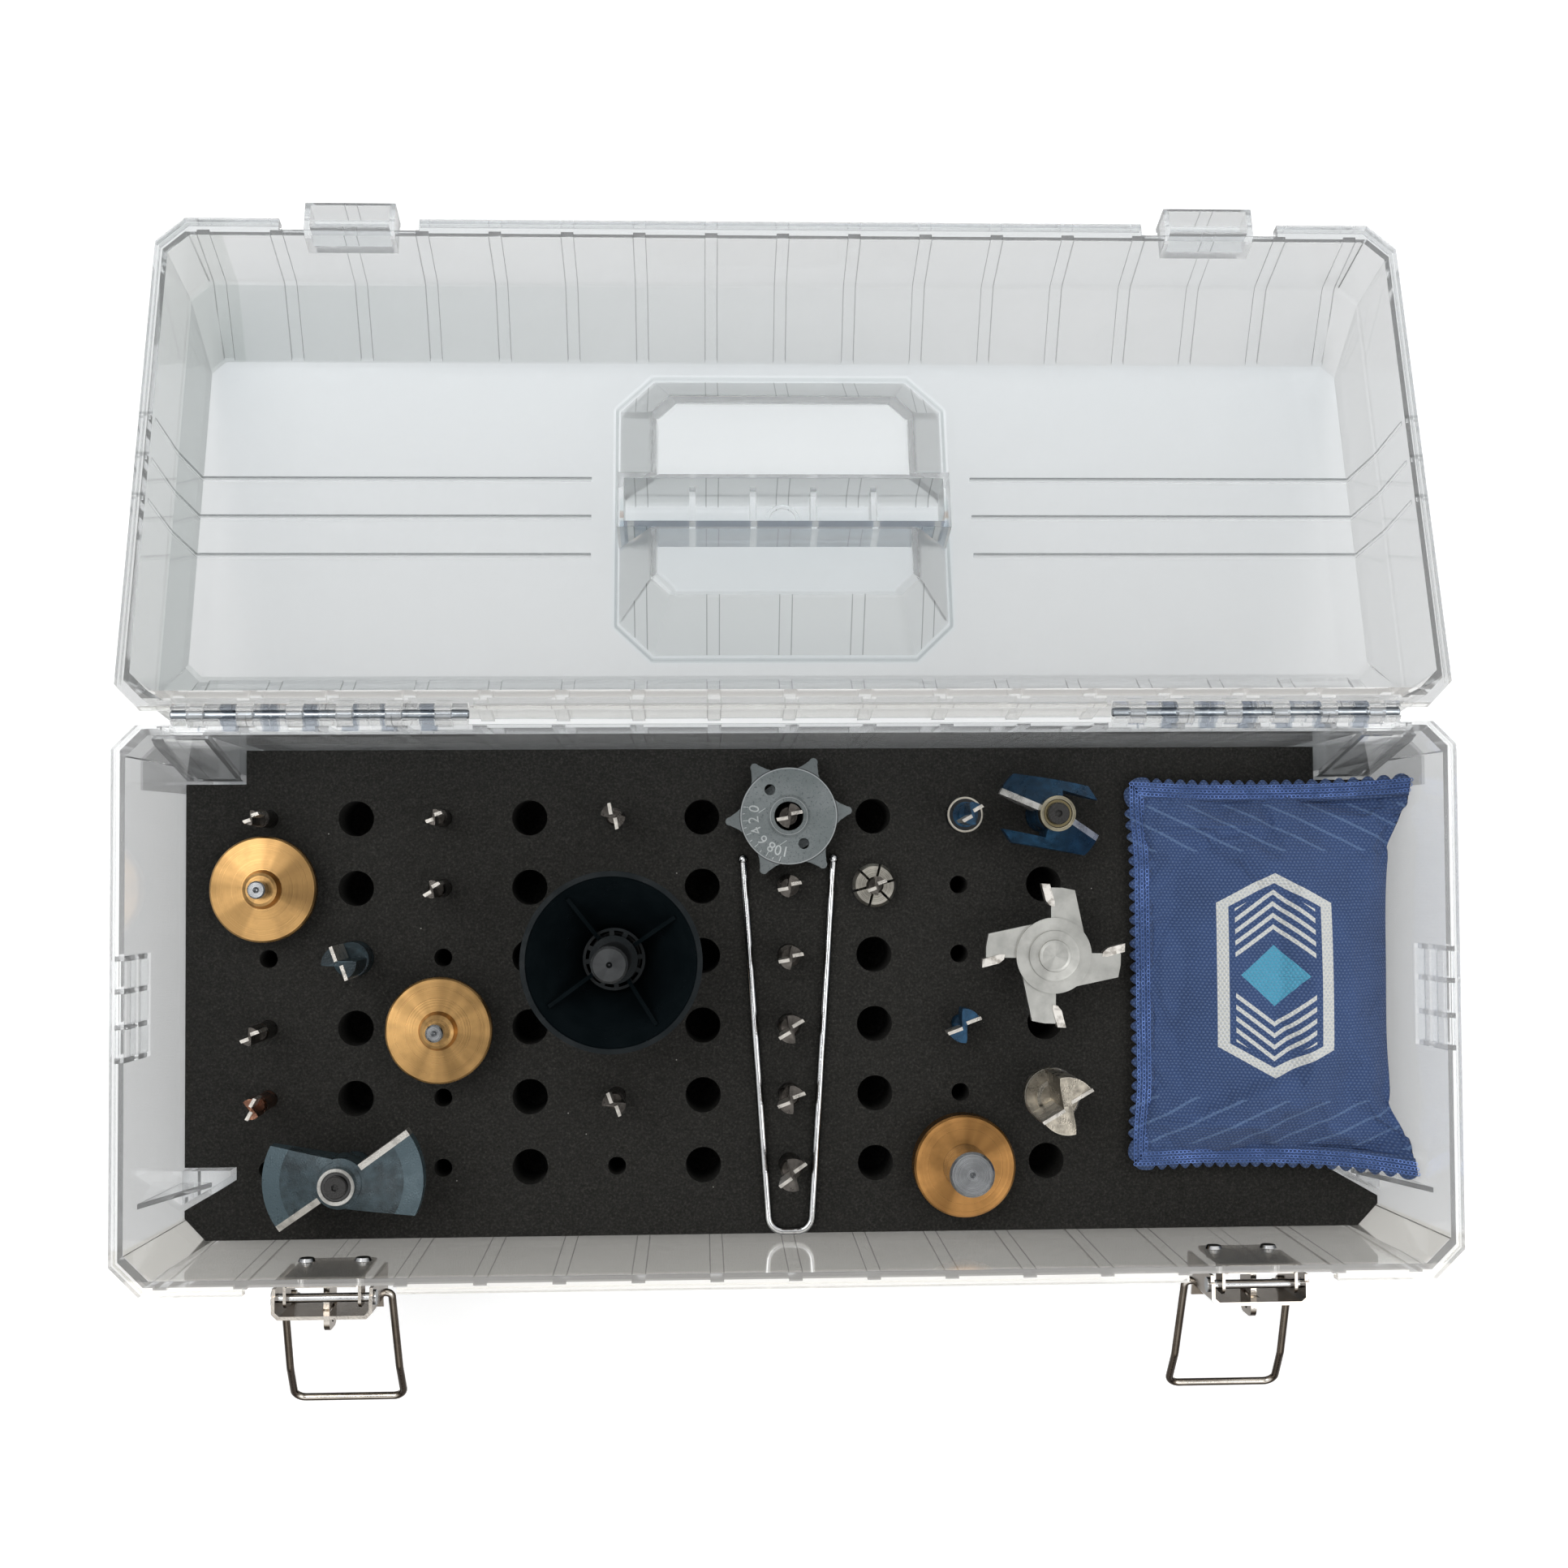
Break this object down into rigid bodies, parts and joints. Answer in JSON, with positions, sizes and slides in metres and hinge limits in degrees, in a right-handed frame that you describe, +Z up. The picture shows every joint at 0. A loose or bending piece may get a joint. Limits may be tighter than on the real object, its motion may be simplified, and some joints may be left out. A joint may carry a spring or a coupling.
{
  "type": "router bit storage case",
  "caption": "Clear hinged storage case with wire latches and a foam insert that holds router bits, turned brass and steel accessories, a wire spanner and a fabric pouch.",
  "frame": {"origin": "centre of the base's underside, on the surface the case stands on", "axes": "+X to the right across the case, +Y from the latches to the hinges, +Z up; the lid stands open"},
  "size_m": [0.4572, 0.4365, 0.1009],
  "materials": {
    "clear_plastic": "clear, moulded",
    "black_foam": "fine closed cells",
    "bright_steel": "bright drawn",
    "nickel": "nickel plated, bright",
    "tool_steel": "ground",
    "bearing_steel": "polished",
    "dark_steel": "dark, turned",
    "blue_coating": "satin, sheathed in a low-friction coat",
    "slate_coating": "satin coat",
    "satin_brass": "satin, turned",
    "black_plastic": "smooth, moulded",
    "zinc_grey": "die-cast, satin",
    "navy_fabric": "knitted, pinked edges"
  },
  "bodies": {
    "case": {"base_shell": "clear_plastic", "foam_block": "black_foam", "hinge_pin_left": "bright_steel", "latch_plate_left": "nickel", "latch_rivets_left": "bright_steel", "hinge_pin_right": "bright_steel", "latch_plate_right": "nickel", "latch_rivets_right": "bright_steel"},
    "lid": {"lid_shell": "clear_plastic"},
    "lever_left": {"latch_lever_left": "nickel", "lever_pin_left": "bright_steel"},
    "bail_left": {"latch_bail_left": "nickel"},
    "lever_right": {"latch_lever_right": "nickel", "lever_pin_right": "bright_steel"},
    "bail_right": {"latch_bail_right": "nickel"},
    "bit_fluted_a": {"bit_fluted_a": "tool_steel"},
    "bit_fluted_b": {"bit_fluted_b": "tool_steel"},
    "bit_point": {"bit_point": "tool_steel"},
    "bit_fluted_c": {"bit_fluted_c": "tool_steel"},
    "bit_fluted_d": {"bit_fluted_d": "tool_steel"},
    "bit_dovetail_small": {"bit_dovetail_small": "tool_steel"},
    "bit_dovetail_plain": {"bit_dovetail_plain": "tool_steel"},
    "bit_straight_half_inch": {"bit_straight_half_inch": "blue_coating"},
    "bit_straight_short": {"bit_straight_short": "blue_coating"},
    "bit_straight_collared": {"bit_straight_collared": "blue_coating"},
    "bit_large_silver": {"bit_large_silver": "tool_steel"},
    "bit_dial": {"bit_dial": "blue_coating"},
    "bit_dovetail_one": {"bit_dovetail_one": "tool_steel"},
    "bit_dovetail_two": {"bit_dovetail_two": "tool_steel"},
    "bit_dovetail_three": {"bit_dovetail_three": "tool_steel"},
    "bit_dovetail_four": {"bit_dovetail_four": "tool_steel"},
    "bit_dovetail_five": {"bit_dovetail_five": "tool_steel"},
    "panel_raiser": {"bit_panel_raiser": "slate_coating"},
    "chamfer_cutter": {"bit_chamfer": "blue_coating"},
    "panel_raiser_bearing": {"bearing_panel_raiser": "bearing_steel"},
    "chamfer_cutter_bearing": {"bearing_chamfer": "bearing_steel"},
    "slot_cutter_set": {"slot_cutter": "tool_steel", "slot_cutter_arbor": "tool_steel"},
    "brass_disc_left_set": {"brass_disc_left": "satin_brass", "brass_disc_left_pin": "bright_steel"},
    "brass_disc_middle_set": {"brass_disc_middle": "satin_brass", "brass_disc_middle_pin": "bright_steel"},
    "brass_knob_set": {"brass_knob": "satin_brass", "brass_knob_post": "bright_steel"},
    "centring_set": {"centring_cone": "black_plastic", "centring_post": "dark_steel"},
    "dial_bush": {"dial_bush": "zinc_grey"},
    "collet_set": {"collet": "bright_steel", "bit_collet": "tool_steel"},
    "wire_spanner": {"wire_spanner": "bright_steel"},
    "pouch": {"pouch": "navy_fabric"}
  },
  "joints": [
    {"name": "lid_hinge", "type": "hinge", "parent": "case", "child": "lid", "pos_m": [0, 0.09855, 0.09715], "axis": [-1, 0, 0], "range_deg": [-196.38, 0]},
    {"name": "lever_left_pivot", "type": "hinge", "parent": "case", "child": "lever_left", "pos_m": [-0.159, -0.0979, 0.088], "axis": [-1, 0, 0], "range_deg": [0, 90]},
    {"name": "bail_left_pivot", "type": "hinge", "parent": "lever_left", "child": "bail_left", "pos_m": [-0.159, -0.1019, 0.062], "axis": [1, 0, 0], "range_deg": [-124, 0]},
    {"name": "lever_right_pivot", "type": "hinge", "parent": "case", "child": "lever_right", "pos_m": [0.159, -0.0979, 0.088], "axis": [-1, 0, 0], "range_deg": [0, 90]},
    {"name": "bail_right_pivot", "type": "hinge", "parent": "lever_right", "child": "bail_right", "pos_m": [0.159, -0.1019, 0.062], "axis": [1, 0, 0], "range_deg": [-124, 0]},
    {"name": "bit_fluted_a_lift", "type": "slide", "parent": "case", "child": "bit_fluted_a", "axis": [0, 0, 1], "range_m": [0, 0.08]},
    {"name": "bit_fluted_b_lift", "type": "slide", "parent": "case", "child": "bit_fluted_b", "axis": [0, 0, 1], "range_m": [0, 0.08]},
    {"name": "bit_point_lift", "type": "slide", "parent": "case", "child": "bit_point", "axis": [0, 0, 1], "range_m": [0, 0.08]},
    {"name": "bit_fluted_c_lift", "type": "slide", "parent": "case", "child": "bit_fluted_c", "axis": [0, 0, 1], "range_m": [0, 0.08]},
    {"name": "bit_fluted_d_lift", "type": "slide", "parent": "case", "child": "bit_fluted_d", "axis": [0, 0, 1], "range_m": [0, 0.08]},
    {"name": "bit_dovetail_small_lift", "type": "slide", "parent": "case", "child": "bit_dovetail_small", "axis": [0, 0, 1], "range_m": [0, 0.08]},
    {"name": "bit_dovetail_plain_lift", "type": "slide", "parent": "case", "child": "bit_dovetail_plain", "axis": [0, 0, 1], "range_m": [0, 0.08]},
    {"name": "bit_straight_half_inch_lift", "type": "slide", "parent": "case", "child": "bit_straight_half_inch", "axis": [0, 0, 1], "range_m": [0, 0.08]},
    {"name": "bit_straight_short_lift", "type": "slide", "parent": "case", "child": "bit_straight_short", "axis": [0, 0, 1], "range_m": [0, 0.08]},
    {"name": "bit_straight_collared_lift", "type": "slide", "parent": "case", "child": "bit_straight_collared", "axis": [0, 0, 1], "range_m": [0, 0.08]},
    {"name": "bit_large_silver_lift", "type": "slide", "parent": "case", "child": "bit_large_silver", "axis": [0, 0, 1], "range_m": [0, 0.08]},
    {"name": "bit_dial_lift", "type": "slide", "parent": "case", "child": "bit_dial", "axis": [0, 0, 1], "range_m": [0, 0.08]},
    {"name": "bit_dovetail_one_lift", "type": "slide", "parent": "case", "child": "bit_dovetail_one", "axis": [0, 0, 1], "range_m": [0, 0.08]},
    {"name": "bit_dovetail_two_lift", "type": "slide", "parent": "case", "child": "bit_dovetail_two", "axis": [0, 0, 1], "range_m": [0, 0.08]},
    {"name": "bit_dovetail_three_lift", "type": "slide", "parent": "case", "child": "bit_dovetail_three", "axis": [0, 0, 1], "range_m": [0, 0.08]},
    {"name": "bit_dovetail_four_lift", "type": "slide", "parent": "case", "child": "bit_dovetail_four", "axis": [0, 0, 1], "range_m": [0, 0.08]},
    {"name": "bit_dovetail_five_lift", "type": "slide", "parent": "case", "child": "bit_dovetail_five", "axis": [0, 0, 1], "range_m": [0, 0.08]},
    {"name": "panel_raiser_lift", "type": "slide", "parent": "case", "child": "panel_raiser", "axis": [0, 0, 1], "range_m": [0, 0.09]},
    {"name": "chamfer_cutter_lift", "type": "slide", "parent": "case", "child": "chamfer_cutter", "axis": [0, 0, 1], "range_m": [0, 0.08]},
    {"name": "panel_raiser_bearing_spin", "type": "hinge", "parent": "panel_raiser", "child": "panel_raiser_bearing", "pos_m": [-0.1569, -0.0624, 0.0766], "axis": [0, 0, 1], "continuous": true},
    {"name": "chamfer_cutter_bearing_spin", "type": "hinge", "parent": "chamfer_cutter", "child": "chamfer_cutter_bearing", "pos_m": [0.0951, 0.0646, 0.068], "axis": [0, 0, 1], "continuous": true},
    {"name": "slot_cutter_set_lift", "type": "slide", "parent": "case", "child": "slot_cutter_set", "axis": [0, 0, 1], "range_m": [0, 0.08]},
    {"name": "brass_disc_left_set_lift", "type": "slide", "parent": "case", "child": "brass_disc_left_set", "axis": [0, 0, 1], "range_m": [0, 0.06]},
    {"name": "brass_disc_middle_set_lift", "type": "slide", "parent": "case", "child": "brass_disc_middle_set", "axis": [0, 0, 1], "range_m": [0, 0.06]},
    {"name": "brass_knob_set_lift", "type": "slide", "parent": "case", "child": "brass_knob_set", "axis": [0, 0, 1], "range_m": [0, 0.06]},
    {"name": "centring_set_lift", "type": "slide", "parent": "case", "child": "centring_set", "axis": [0, 0, 1], "range_m": [0, 0.06]},
    {"name": "dial_bush_lift", "type": "slide", "parent": "case", "child": "dial_bush", "axis": [0, 0, 1], "range_m": [0, 0.08]},
    {"name": "collet_set_lift", "type": "slide", "parent": "case", "child": "collet_set", "axis": [0, 0, 1], "range_m": [0, 0.08]},
    {"name": "wire_spanner_lift", "type": "slide", "parent": "case", "child": "wire_spanner", "axis": [0, 0, 1], "range_m": [0, 0.08]},
    {"name": "pouch_lift", "type": "slide", "parent": "case", "child": "pouch", "axis": [0, 0, 1], "range_m": [0, 0.08]}
  ]
}
